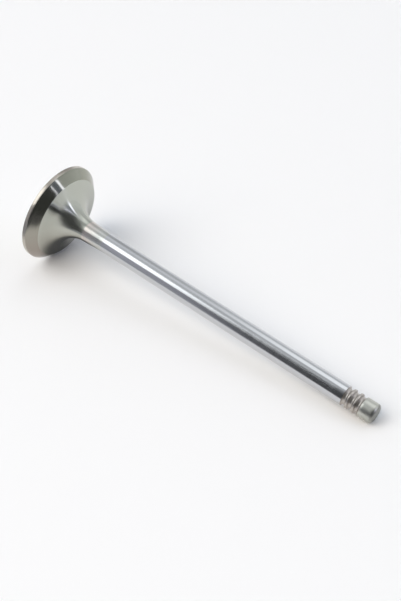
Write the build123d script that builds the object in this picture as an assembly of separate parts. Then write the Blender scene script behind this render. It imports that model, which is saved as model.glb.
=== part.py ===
from build123d import *
import os
from math import cos, radians, tan

# A poppet valve for an internal combustion engine, forged and turned as one piece: a flat
# disc head with a conical seat, a tulip fillet into a slim tapered neck, a ground stem, and
# round keeper grooves below a hardened tip.
# It stands on its combustion face. The origin is the centre of that face, and +Z runs up
# the stem to the tip. Sizes are in millimetres, and angles in degrees.

# head
head_diameter = 41.0
margin_height = 1.8        # plain cylinder round the rim, under the seat
face_break = 0.25          # chamfer where the combustion face meets the margin
seat_angle = 45.0          # slope of the seat cone from the plane of the head
seat_width = 3.5           # radial width of the seat cone
back_angle = 15.0          # slope of the head's back where it leaves the seat
tulip_radius = 11.5        # fillet that carries the head's back into the neck

# neck and stem
overall_length = 154.0     # combustion face to the tip's end face
stem_diameter = 8.0
neck_taper = 2.5           # slope of the neck from the stem's axis
neck_top = 26.5            # height above the combustion face where the taper meets the stem

# keeper grooves and tip
groove_count = 3
groove_radius = 0.95       # radius of the round-bottomed groove
groove_depth = 0.85
groove_pitch = 2.8
land_length = 5.7          # end face to the rim of the first groove
crest_rounding = 0.12      # broken edges of the grooves
tip_chamfer = 0.8
tip_rounding = 0.3         # softened corners of the tip's chamfer


def head_outline():
    """Points round the head, from the axis to the inner edge of the seat."""
    rim = head_diameter / 2
    seat_top = margin_height + seat_width * tan(radians(seat_angle))
    return [
        (0, 0),
        (rim - face_break, 0),
        (rim, face_break),
        (rim, margin_height),
        (rim - seat_width, seat_top),
    ]


def tulip_corner(seat_edge, stem):
    """The point where the head's sloping back and the neck's taper would meet without their
    fillet, and the fillet's radius, limited by the length of the back."""
    edge_radius, edge_height = seat_edge
    rise = tan(radians(back_angle))
    spread = tan(radians(neck_taper))
    reach = edge_radius - stem - neck_top * spread
    height = (edge_height + reach * rise) / (1 - rise * spread)
    radius = stem + (neck_top - height) * spread
    back_length = (edge_radius - radius) / cos(radians(back_angle))
    turn = 90 - back_angle - neck_taper
    return (radius, height), min(tulip_radius, 0.99 * back_length / tan(radians(turn / 2)))


def groove_centres():
    """Centres of the circles that cut the keeper grooves, from the tip downwards."""
    centre_radius = stem_diameter / 2 - groove_depth + groove_radius
    half_width = (groove_radius**2 - (groove_radius - groove_depth) ** 2) ** 0.5
    first = overall_length - land_length - half_width
    return [(centre_radius, first - i * groove_pitch) for i in range(groove_count)]


def near(vertex, points, reach):
    """True where a vertex of the section lies within reach of one of the points."""
    return any((Vector(vertex.X, vertex.Y) - Vector(*p)).length <= reach for p in points)


def half_section():
    """Half of the valve's lengthwise section, closed along the axis."""
    stem = stem_diameter / 2
    head = head_outline()
    corner, corner_radius = tulip_corner(head[-1], stem)
    tip = [
        (stem, overall_length - tip_chamfer),
        (stem - tip_chamfer, overall_length),
    ]
    section = make_face(Polyline(*head, corner, (stem, neck_top), *tip, (0, overall_length), close=True))
    section = fillet([v for v in section.vertices() if near(v, [corner], 1e-4)], corner_radius)
    centres = groove_centres()
    for centre in centres:
        section -= Pos(*centre) * Circle(groove_radius)
    crests = [v for v in section.vertices() if near(v, centres, groove_radius * 1.001)]
    section = fillet(crests, crest_rounding)
    return fillet([v for v in section.vertices() if near(v, tip, 1e-4)], tip_rounding)


valve = revolve(Plane.XZ * half_section(), Axis.Z, 360)

os.makedirs("parts", exist_ok=True)
export_step(valve, "parts/valve.step")
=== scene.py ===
import bmesh
import bpy
from math import asin, atan, cos, pi, radians, sin, sqrt, tan
from mathutils import Matrix, Vector


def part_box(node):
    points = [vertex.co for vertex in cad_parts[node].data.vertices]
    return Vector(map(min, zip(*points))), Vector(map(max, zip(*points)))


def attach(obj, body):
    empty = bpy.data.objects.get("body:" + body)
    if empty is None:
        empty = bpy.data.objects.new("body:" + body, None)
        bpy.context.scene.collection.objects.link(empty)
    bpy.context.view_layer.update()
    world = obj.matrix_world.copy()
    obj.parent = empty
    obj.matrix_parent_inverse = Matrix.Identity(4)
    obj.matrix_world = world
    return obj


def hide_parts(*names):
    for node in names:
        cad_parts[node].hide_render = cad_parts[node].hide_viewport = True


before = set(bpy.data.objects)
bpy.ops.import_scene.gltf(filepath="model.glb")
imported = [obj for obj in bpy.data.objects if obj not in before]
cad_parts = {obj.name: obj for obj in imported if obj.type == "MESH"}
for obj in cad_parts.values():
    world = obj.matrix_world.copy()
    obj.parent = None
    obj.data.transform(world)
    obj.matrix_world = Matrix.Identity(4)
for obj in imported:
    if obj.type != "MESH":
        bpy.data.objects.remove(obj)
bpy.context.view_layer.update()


# Combustion face and margin
# The flat face closes the cylinder, and the margin is the thin plain rim round it. Both
# are the forging's own steel, faced and turned in one setting, with the corner broken.

mm = 0.001
low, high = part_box("valve")
head_radius = min(high.x, high.y, -low.x, -low.y)
face_break = 0.25 * mm
margin_height = 1.8 * mm
turned_steps = 192                      # facets in a full turn

valve = bmesh.new()
finishes = []


class Stretch:
    """A run of the valve's outline that takes one finish, drawn first and then turned."""

    def __init__(self, radius, height):
        self.mesh = bmesh.new()
        self.points = [self.mesh.verts.new((radius, 0, height))]

    def straight(self, radius, height, pieces=1):
        begin = self.points[-1].co.copy()
        end = Vector((radius, 0, height))
        for i in range(1, pieces + 1):
            point = self.mesh.verts.new(begin.lerp(end, i / pieces))
            self.mesh.edges.new((self.points[-1], point))
            self.points.append(point)

    def arc(self, radius, height, angle, pieces):
        """Swings the last point about a centre at this radius and height."""
        made = bmesh.ops.spin(
            self.mesh, geom=[self.points[-1]], cent=(radius, 0, height), axis=(0, 1, 0),
            angle=angle, steps=pieces,
        )
        swung = [made["geom_last"][0]]
        while len(swung) < pieces:
            beside = [edge.other_vert(swung[-1]) for edge in swung[-1].link_edges]
            swung.append(next(point for point in beside if point not in swung))
        self.points.extend(reversed(swung))

    def turn(self, finish):
        """Turns the stretch round the axis and adds it to the valve in this finish."""
        bmesh.ops.spin(
            self.mesh, geom=self.mesh.verts[:] + self.mesh.edges[:], cent=(0, 0, 0), axis=(0, 0, 1),
            angle=2 * pi, steps=turned_steps, use_merge=True,
        )
        for face in self.mesh.faces:
            face.material_index = len(finishes)
        finishes.append(finish)
        turned = bpy.data.meshes.new("turned")
        self.mesh.to_mesh(turned)
        self.mesh.free()
        valve.from_mesh(turned)
        bpy.data.meshes.remove(turned)


class Tree:
    """A tree of shader nodes, with short ways to add and link them."""

    def __init__(self, tree):
        self.nodes = tree.nodes
        self.links = tree.links

    def feed(self, socket, value):
        """Links an output into the socket, or writes a plain value or colour there."""
        if isinstance(value, bpy.types.NodeSocket):
            self.links.new(value, socket)
        elif socket.type == "RGBA":
            socket.default_value = (*value, 1)
        else:
            socket.default_value = value

    def node(self, kind, *values, **settings):
        """Adds a node with these settings, and feeds its inputs in their order."""
        made = self.nodes.new("ShaderNode" + kind)
        for name, setting in settings.items():
            setattr(made, name, setting)
        for socket, value in zip(made.inputs, values):
            self.feed(socket, value)
        return made

    def math(self, operation, *values):
        return self.node("Math", *values, operation=operation).outputs[0]

    def measure(self, operation, *vectors):
        return self.node("VectorMath", *vectors, operation=operation).outputs["Value"]

    def spread(self, value, from_low, from_high, to_low=0.0, to_high=1.0):
        """Carries a value over from one range to another, in a straight run."""
        return self.node("MapRange", value, from_low, from_high, to_low, to_high).outputs[0]

    def step(self, value, begin, end):
        """0 to 1 between two values, easing in and out."""
        return self.node("MapRange", value, begin, end, interpolation_type="SMOOTHSTEP").outputs[0]

    def blend(self, factor, first, second, blend_type="MIX"):
        """A colour that goes from the first to the second as the factor grows."""
        mix = self.node("Mix", data_type="RGBA", blend_type=blend_type)
        self.feed(mix.inputs["Factor"], factor)
        self.feed(mix.inputs["A"], first)
        self.feed(mix.inputs["B"], second)
        return mix.outputs["Result"]


class Finish(Tree):
    """A steel in one finish. Its plain colour and roughness are for viewers that read no nodes,
    and stand wherever the finish has no pattern of its own."""

    def __init__(self, name, colour, roughness):
        self.material = bpy.data.materials.new(name)
        self.material.use_nodes = True
        super().__init__(self.material.node_tree)
        self.shader = self.nodes["Principled BSDF"]
        self.feed(self.shader.inputs["Metallic"], 1.0)
        self.feed(self.shader.inputs["Base Color"], colour)
        self.feed(self.shader.inputs["Roughness"], roughness)
        place = self.node("TexCoord").outputs["Object"]
        self.x, self.y, self.height = self.node("SeparateXYZ", place).outputs
        radius = self.measure("LENGTH", self.node("CombineXYZ", self.x, self.y).outputs[0])
        # height less radius grows all the way along the outline, from the rim to the tip
        self.along = self.math("SUBTRACT", self.height, radius)

    def noise(self, along, around):
        """Noise with patches of this size along the outline and round the axis."""
        drawn = self.node(
            "CombineXYZ", self.math("DIVIDE", self.x, around), self.math("DIVIDE", self.y, around),
            self.math("DIVIDE", self.along, along),
        )
        noise = self.node("TexNoise")
        self.feed(noise.inputs["Vector"], drawn.outputs[0])
        self.feed(noise.inputs["Scale"], 1.0)
        self.feed(noise.inputs["Detail"], 2.0)
        return noise.outputs["Fac"]

    def colour(self, colour):
        self.feed(self.shader.inputs["Base Color"], colour)

    def roughness(self, lines, smooth, rough):
        """Lets the roughness follow the tool lines, whose noise stays near 0.3 to 0.7."""
        self.feed(self.shader.inputs["Roughness"], self.spread(lines, 0.3, 0.7, smooth, rough))

    def bump(self, lines, depth):
        made = self.node("Bump")
        self.feed(made.inputs["Height"], lines)
        self.feed(made.inputs["Distance"], depth)
        self.feed(self.shader.inputs["Normal"], made.outputs[0])

    def brushed(self, amount):
        """Tool lines round the axis draw highlights out along the outline."""
        round_axis = self.node("Tangent", direction_type="RADIAL", axis="Z").outputs[0]
        self.feed(self.shader.inputs["Tangent"], round_axis)
        self.feed(self.shader.inputs["Anisotropic"], amount)
        self.feed(self.shader.inputs["Anisotropic Rotation"], 0.25)


faced_steel = Finish("faced_steel", (0.55, 0.545, 0.53), 0.3)
lines = faced_steel.noise(along=0.15 * mm, around=20 * mm)
faced_steel.colour(faced_steel.blend(lines, (0.48, 0.475, 0.465), (0.62, 0.61, 0.595)))
faced_steel.roughness(lines, 0.24, 0.38)
faced_steel.bump(lines, 0.01 * mm)
faced_steel.brushed(0.7)

face = Stretch(0, 0)
face.straight(head_radius - face_break, 0, pieces=12)
face.straight(head_radius, face_break)
face.turn(faced_steel)

margin_steel = Finish("turned_margin", (0.50, 0.46, 0.405), 0.2)
lines = margin_steel.noise(along=0.2 * mm, around=12 * mm)
margin_steel.roughness(lines, 0.15, 0.25)
margin_steel.bump(lines, 0.008 * mm)
margin_steel.brushed(0.8)

margin = Stretch(head_radius, face_break)
margin.straight(head_radius, margin_height, pieces=2)
margin.turn(margin_steel)


# Seat
# The 45 degree cone that closes on the port's seat ring. It is ground after the head is turned, so
# it is the sharpest mirror on the head. Its colour goes from olive on the side away from the card to straw
# on the side towards it, a painted tint of the light it mirrors there, broken up in uneven patches.

seat_width = 3.5 * mm
seat_angle = radians(45)
seat_top = margin_height + seat_width * tan(seat_angle)
seat_inner = head_radius - seat_width

seat_steel = Finish("ground_seat", (0.34, 0.335, 0.32), 0.2)
side = seat_steel.math("SUBTRACT", seat_steel.y, seat_steel.x)
uneven = seat_steel.noise(along=30 * mm, around=18 * mm)
# painted tint of mirrored light: olive on the side away from the card, straw towards it, in uneven patches
film_and_painted_tint = seat_steel.spread(seat_steel.math("MULTIPLY_ADD", uneven, 12 * mm, side), -14 * mm, 20 * mm)
seat_steel.colour(seat_steel.blend(film_and_painted_tint, (0.33, 0.335, 0.28), (0.37, 0.325, 0.29)))
lines = seat_steel.noise(along=0.12 * mm, around=15 * mm)
seat_steel.roughness(lines, 0.14, 0.18)
seat_steel.bump(lines, 0.002 * mm)
seat_steel.brushed(0.93)

seat = Stretch(head_radius, margin_height)
seat.straight(seat_inner, seat_top, pieces=4)
seat.turn(seat_steel)


# Head's back and tulip
# The back of the head slopes up from the seat and sweeps up through the tulip fillet. It is
# turned all over and left satin, so light smears out along its outline. Its colour goes from
# olive on the side away from the card to brown on the side towards it, a painted tint of the light it
# mirrors there.

stem_radius = 4.0 * mm
back_angle = radians(15)
tulip_radius = 11.5 * mm
neck_taper = radians(2.5)
neck_top = 26.5 * mm
rise = tan(back_angle)
spread = tan(neck_taper)
corner_height = (seat_top + (seat_inner - stem_radius - neck_top * spread) * rise) / (1 - rise * spread)
corner_radius = stem_radius + (neck_top - corner_height) * spread
tulip_turn = pi / 2 - back_angle - neck_taper
tangent = tulip_radius * tan(tulip_turn / 2)
arc_start_radius = corner_radius + tangent * cos(back_angle)
arc_start_height = corner_height - tangent * sin(back_angle)
arc_centre_radius = arc_start_radius + tulip_radius * sin(back_angle)
arc_centre_height = arc_start_height + tulip_radius * cos(back_angle)

back_steel = Finish("turned_back", (0.46, 0.46, 0.435), 0.22)
side = back_steel.math("SUBTRACT", back_steel.y, back_steel.x)
# painted tint of mirrored light: olive on the side away from the card, brown towards it
film_and_painted_tint = back_steel.spread(side, -12 * mm, 12 * mm)
lines = back_steel.noise(along=0.4 * mm, around=12 * mm)
olive = back_steel.blend(lines, (0.475, 0.49, 0.435), (0.52, 0.535, 0.48))
brown = back_steel.blend(lines, (0.435, 0.425, 0.38), (0.475, 0.465, 0.42))
back_steel.colour(back_steel.blend(film_and_painted_tint, olive, brown))
back_steel.roughness(lines, 0.19, 0.225)
back_steel.brushed(1.0)

back = Stretch(seat_inner, seat_top)
back.straight(arc_start_radius, arc_start_height, pieces=3)
back.arc(arc_centre_radius, arc_centre_height, tulip_turn, pieces=48)
back.turn(back_steel)


# Neck
# A slim taper leads from the fillet to the ground stem. It is turned finer than the head's
# back, and heat has left a thin pink film on it, which fades to grey up the neck.

neck_steel = Finish("turned_neck", (0.63, 0.61, 0.57), 0.2)
film_and_painted_tint = neck_steel.spread(neck_steel.height, 17 * mm, 24 * mm)
neck_steel.colour(neck_steel.blend(film_and_painted_tint, (0.66, 0.605, 0.56), (0.60, 0.61, 0.585)))
lines = neck_steel.noise(along=0.3 * mm, around=6 * mm)
neck_steel.roughness(lines, 0.17, 0.20)
neck_steel.brushed(0.4)

neck = Stretch(corner_radius - tangent * sin(neck_taper), corner_height + tangent * cos(neck_taper))
neck.straight(stem_radius, neck_top, pieces=4)
neck.turn(neck_steel)


# Stem
# A plain cylinder that runs in the guide. It is centreless ground, so fine rings run round
# it, and it starts with a sharp line at the top of the neck and ends at the first groove.

overall_length = high.z
groove_count = 3
groove_radius = 0.95 * mm
groove_depth = 0.85 * mm
groove_pitch = 2.8 * mm
land_length = 5.7 * mm                  # end face to the rim of the first groove
groove_centre = stem_radius - groove_depth + groove_radius
groove_half_angle = asin(sqrt(groove_radius**2 - (groove_radius - groove_depth)**2) / groove_radius)
groove_half_width = groove_radius * sin(groove_half_angle)
land_start = overall_length - land_length
groove_heights = [land_start - groove_half_width - i * groove_pitch for i in reversed(range(groove_count))]
grooves_start = groove_heights[0] - groove_half_width

stem_steel = Finish("ground_stem", (0.59, 0.60, 0.615), 0.2)
lines = stem_steel.noise(along=0.3 * mm, around=6 * mm)
stem_steel.roughness(lines, 0.13, 0.18)
stem_steel.bump(lines, 0.002 * mm)
stem_steel.brushed(0.35)

stem = Stretch(stem_radius, neck_top)
stem.straight(stem_radius, grooves_start, pieces=24)
stem.turn(stem_steel)


# Keeper grooves
# Three round-bottomed grooves take the collets that hold the spring's retainer. They are
# turned after the stem is hardened, and their crests are just broken.

hair = 0.01 * mm                        # shorter than any stretch of the outline

groove_steel = Finish("groove_steel", (0.52, 0.49, 0.455), 0.36)
lines = groove_steel.noise(along=0.5 * mm, around=4 * mm)
groove_steel.colour(groove_steel.blend(lines, (0.47, 0.435, 0.40), (0.58, 0.545, 0.51)))
groove_steel.roughness(lines, 0.33, 0.38)

grooves = Stretch(stem_radius, grooves_start)
for height in groove_heights:
    if grooves.points[-1].co.z < height - groove_half_width - hair:
        grooves.straight(stem_radius, height - groove_half_width)
    grooves.arc(groove_centre, height, 2 * groove_half_angle, pieces=20)
grooves.turn(groove_steel)


# Tip
# The short land above the grooves and its end face, which the rocker presses on. They are
# hardened, and a chamfer with soft corners leads into the end face.

tip_chamfer = 0.8 * mm
tip_rounding = 0.3 * mm

tip_steel = Finish("hardened_tip", (0.57, 0.57, 0.52), 0.35)
lines = tip_steel.noise(along=0.3 * mm, around=4 * mm)
tip_steel.colour(tip_steel.blend(lines, (0.53, 0.535, 0.48), (0.61, 0.61, 0.56)))
tip_steel.roughness(lines, 0.32, 0.37)
tip_steel.bump(lines, 0.003 * mm)

tip = Stretch(stem_radius, land_start)
tip.straight(stem_radius, overall_length - tip_chamfer, pieces=4)
tip.straight(stem_radius - tip_chamfer, overall_length)
tip.straight(0, overall_length, pieces=4)
tip.turn(tip_steel)


# The finished valve
# The turned stretches are one forging, so their edges are welded together, and the
# corners that a stone takes off are rounded.

bmesh.ops.remove_doubles(valve, verts=valve.verts, dist=0.1 * hair)
bmesh.ops.recalc_face_normals(valve, faces=valve.faces)


def soften(radius, height, size, segments):
    """Rounds the circular edge of this radius at this height."""
    ring = [
        edge for edge in valve.edges
        if all(abs(point.co.z - height) + abs(point.co.xy.length - radius) < hair for point in edge.verts)
    ]
    bmesh.ops.bevel(
        valve, geom=ring, offset=size, segments=segments, profile=0.5, affect="EDGES", material=-1
    )


seat_break = 0.08 * mm
crest_rounding = 0.12 * mm
sharp_corner = radians(20)
soften(head_radius, margin_height, seat_break, segments=2)
soften(seat_inner, seat_top, seat_break, segments=2)
for height in groove_heights:
    soften(stem_radius, height - groove_half_width, crest_rounding, segments=3)
    soften(stem_radius, height + groove_half_width, crest_rounding, segments=3)
soften(stem_radius, overall_length - tip_chamfer, tip_rounding, segments=4)
soften(stem_radius - tip_chamfer, overall_length, tip_rounding, segments=4)

for edge in valve.edges:
    edge.smooth = len(edge.link_faces) == 2 and edge.calc_face_angle() < sharp_corner
for face in valve.faces:
    face.smooth = True

mesh = bpy.data.meshes.new("engine_valve")
valve.to_mesh(mesh)
valve.free()
for finish in finishes:
    mesh.materials.append(finish.material)
piece = bpy.data.objects.new("engine_valve", mesh)
bpy.context.collection.objects.link(piece)
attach(piece, "root")
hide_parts("valve")


# Table
# The valve lies on a pale card, on the margin's upper edge and on the tip, so its stem
# runs down towards the card. In the steel's reflections alone, painted shade darkens the card past
# its near side and past the tip, and a darker painted shadow lies right under the head.
# Nothing shows the card from under it.

table_side = radians(45)                # direction round the stem from which the valve is seen
lean = atan((head_radius - stem_radius) / (overall_length - tip_chamfer - margin_height))
outwards = Vector((sin(table_side), -cos(table_side), 0))
table_up = outwards * cos(lean) - Vector((0, 0, sin(lean)))
table_along = Vector((0, 0, cos(lean))) + outwards * sin(lean)
table_aside = table_up.cross(table_along)
table_drop = head_radius * cos(lean) + margin_height * sin(lean)
table_reach = 2.0

table = bmesh.new()
bmesh.ops.create_grid(table, x_segments=1, y_segments=1, size=table_reach)
bmesh.ops.transform(
    table,
    matrix=Matrix.Translation(-table_up * table_drop)
    @ Matrix((table_along, table_aside, table_up)).transposed().to_4x4(),
    verts=table.verts,
)
mesh = bpy.data.meshes.new("table")
table.to_mesh(mesh)
table.free()
table_top = bpy.data.objects.new("table", mesh)
bpy.context.collection.objects.link(table_top)

pale_card = bpy.data.materials.new("pale_card")
pale_card.use_nodes = True
mesh.materials.append(pale_card)
card = Tree(pale_card.node_tree)
card.nodes.remove(card.nodes["Principled BSDF"])
spot = card.node("TexCoord").outputs["Object"]


def across(heading, begin, end):
    """0 to 1 over the card, between two distances from the head in this heading."""
    return card.step(card.measure("DOT_PRODUCT", spot, heading), begin, end)


# where painted shade lies on the card, seen only in the steel's reflections
near_side = across(-table_aside, begin=45 * mm, end=80 * mm)
near_head = card.math(
    "MULTIPLY",
    across(-table_aside, begin=28 * mm, end=56 * mm),
    across(-table_along, begin=-20 * mm, end=30 * mm),
)
past_tip = card.math(
    "MULTIPLY",
    across(table_along, begin=140 * mm, end=175 * mm),
    across(-table_aside, begin=-110 * mm, end=-70 * mm),
)
painted_shade_mask = card.math("MAXIMUM", card.math("MAXIMUM", near_side, near_head), past_tip)
# painted shade on the card, darker further along, seen only in reflections
painted_floor_shade = card.blend(across(table_along, begin=0, end=80 * mm), (0.36, 0.38, 0.41), (0.12, 0.12, 0.13))
# painted contact shadow right under the head, seen only in reflections
under_head = table_along * 6 * mm - table_aside * 3 * mm - table_up * table_drop
clear_of_head = card.step(card.measure("DISTANCE", spot, under_head), 3 * mm, 12 * mm)

card_colour = (0.93, 0.935, 0.922)
painted_contact_shadow = (0.23, 0.245, 0.26)
mirrored = card.blend(painted_shade_mask, card_colour, painted_floor_shade)
mirrored = card.blend(clear_of_head, painted_contact_shadow, mirrored)
# only glossy rays see the painted shade and shadow; camera and lamps see the plain card
seen = card.blend(card.node("LightPath").outputs["Is Glossy Ray"], card_colour, mirrored)
from_above = card.node("BsdfDiffuse", seen).outputs[0]
from_below = card.node("BsdfTransparent").outputs[0]
below = card.node("NewGeometry").outputs["Backfacing"]
surface = card.node("MixShader", below, from_above, from_below).outputs[0]
card.feed(card.nodes["Material Output"].inputs["Surface"], surface)


# Camera
# It looks down on the card through a long lens, from half a metre away. The stem runs
# towards it, from the upper left of the picture to the lower right.

camera_turn = radians(-37.68)
camera_elevation = 44.29                # degrees above the card
camera_distance = 508.6 * mm
sensor_width = 36
focal_pixels = 1280
picture_height = 601
aim = table_along * 64.54 * mm + table_aside * 11.25 * mm - table_up * table_drop
view_right = table_along * cos(camera_turn) - table_aside * sin(camera_turn)
view_back = table_along * sin(camera_turn) + table_aside * cos(camera_turn)


def towards(azimuth, elevation):
    """A direction over the table, from azimuth 0 away from the camera and 90 to its right."""
    level = view_back * cos(radians(azimuth)) + view_right * sin(radians(azimuth))
    return level * cos(radians(elevation)) + table_up * sin(radians(elevation))


camera_data = bpy.data.cameras.new("camera")
camera_data.sensor_width = sensor_width
camera_data.lens = sensor_width * focal_pixels / picture_height
camera_data.clip_start = 10 * mm
camera = bpy.data.objects.new("camera", camera_data)
bpy.context.collection.objects.link(camera)
backwards = towards(180, camera_elevation)
camera.matrix_world = Matrix.Translation(aim + backwards * camera_distance) @ Matrix(
    (view_right, backwards.cross(view_right), backwards)
).transposed().to_4x4()
bpy.context.scene.camera = camera


# Lamp
# One large soft warm lamp at the left gives the valve its shadow. It is kept out of the
# steel's reflections, which show the room alone.

lamp_side = towards(-122, 48)
lamp_distance = 3.0
lamp_data = bpy.data.lights.new("soft_lamp", "AREA")
lamp_data.shape = "DISK"
lamp_data.size = 3.4
lamp_data.color = (1.0, 0.88, 0.76)
lamp_data.energy = 61
lamp = bpy.data.objects.new("soft_lamp", lamp_data)
bpy.context.collection.objects.link(lamp)
lamp.rotation_mode = "QUATERNION"
lamp.rotation_quaternion = lamp_side.to_track_quat("Z", "Y")
lamp.location = table_along * 50 * mm + lamp_side * lamp_distance
lamp.visible_camera = False
lamp.visible_glossy = False


# Room
# Pale walls with one window at the left and one behind, and a grey panel and strip. The
# camera's side is dark, with two thin gaps of light at the right. What lights the card is a
# little bluer than what the steel mirrors, and the camera sees plain white past the card.

world = bpy.data.worlds.new("studio")
world.use_nodes = True
bpy.context.scene.world = world
room = Tree(world.node_tree)
direction = room.node("TexCoord").outputs["Generated"]


def ramp(value, stops):
    """A grey level that follows the stops (degrees above the table, level) in straight runs."""
    made = room.node("ValToRGB", room.math("MULTIPLY_ADD", value, 1 / 180, 0.5))
    elements = made.color_ramp.elements
    for i, (degrees, level) in enumerate(stops):
        position = degrees / 180 + 0.5
        element = elements[i] if i < 2 else elements.new(position)
        element.position = position
        element.color = (level, level, level, 1)
    return made.outputs["Color"]


def area(corners, soft):
    """1 inside the corners (azimuth, elevation), with soft edges. They run from left to right
    along the bottom and back along the top."""
    inside = 1.0
    for here, there in zip(corners, corners[1:] + corners[:1]):
        side = towards(*there).cross(towards(*here)).normalized()
        past_edge = room.measure("DOT_PRODUCT", direction, side)
        within = room.step(past_edge, -sin(radians(soft)), sin(radians(soft)))
        inside = room.math("MULTIPLY", inside, within)
    return inside


upward = room.measure("DOT_PRODUCT", direction, table_up)
above = room.math("MULTIPLY", room.math("ARCSINE", upward), 180 / pi)
walls = ramp(above, [(0, 0.95), (15, 0.80), (28, 0.66), (45, 0.72), (60, 0.82), (75, 0.60), (90, 0.56)])
grey_panel = area([(-4, 6), (13, 6), (13, 44), (-4, 44)], soft=4.0)
walls = room.blend(grey_panel, walls, (0.40, 0.40, 0.40))
grey_strip = area([(-125, -30), (-106, -30), (-110, 4), (-117.5, 38), (-122, 38)], soft=1.0)
walls = room.blend(grey_strip, walls, (0.47, 0.46, 0.50))

dark_side = area([(118, -30), (-131, -30), (-111, 62), (180, 84), (118, 51)], soft=1.0)
dark_foot = area([(118, -30), (-122, -30), (-122, 24), (118, 24)], soft=1.0)
dark = ramp(above, [(0, 0.075), (42, 0.08), (52, 0.14), (63, 0.22), (74, 0.32), (81, 0.48), (90, 0.55)])
walls = room.blend(room.math("MAXIMUM", dark_side, dark_foot), walls, dark)
between_gaps = area([(102, 0), (118, 0), (116, 45), (102, 45)], soft=0.4)
walls = room.blend(between_gaps, walls, (0.24, 0.25, 0.32))
wide_gap = area([(99.5, -5), (103.5, -5), (103.5, 40), (99.5, 40)], soft=0.4)
walls = room.blend(wide_gap, walls, (3.4, 3.3, 3.9))
thin_gap = area([(116.8, -5), (119.0, -5), (118.8, 36), (116.8, 36)], soft=0.4)
walls = room.blend(thin_gap, walls, (3.2, 3.1, 3.7))

left_window = area([(-119, 41), (-106, 31), (-75, 34), (-50, 64), (-94, 67.5), (-110, 62)], soft=1.2)
walls = room.blend(left_window, walls, (2.3, 2.3, 2.26))
back_window = area([(19.5, 41), (60, 41), (60, 80), (-11.5, 74)], soft=1.0)
walls = room.blend(back_window, walls, (1.35, 1.35, 1.34))

ray = room.node("LightPath").outputs
tint = room.blend(ray["Is Glossy Ray"], (0.93, 0.99, 1.09), (0.975, 1.0, 1.03))
tinted = room.blend(1.0, walls, tint, blend_type="MULTIPLY")
shown = room.blend(ray["Is Camera Ray"], tinted, (1.0, 1.0, 1.0))
room.feed(room.nodes["Background"].inputs["Color"], shown)

bpy.context.scene.view_settings.view_transform = "Standard"
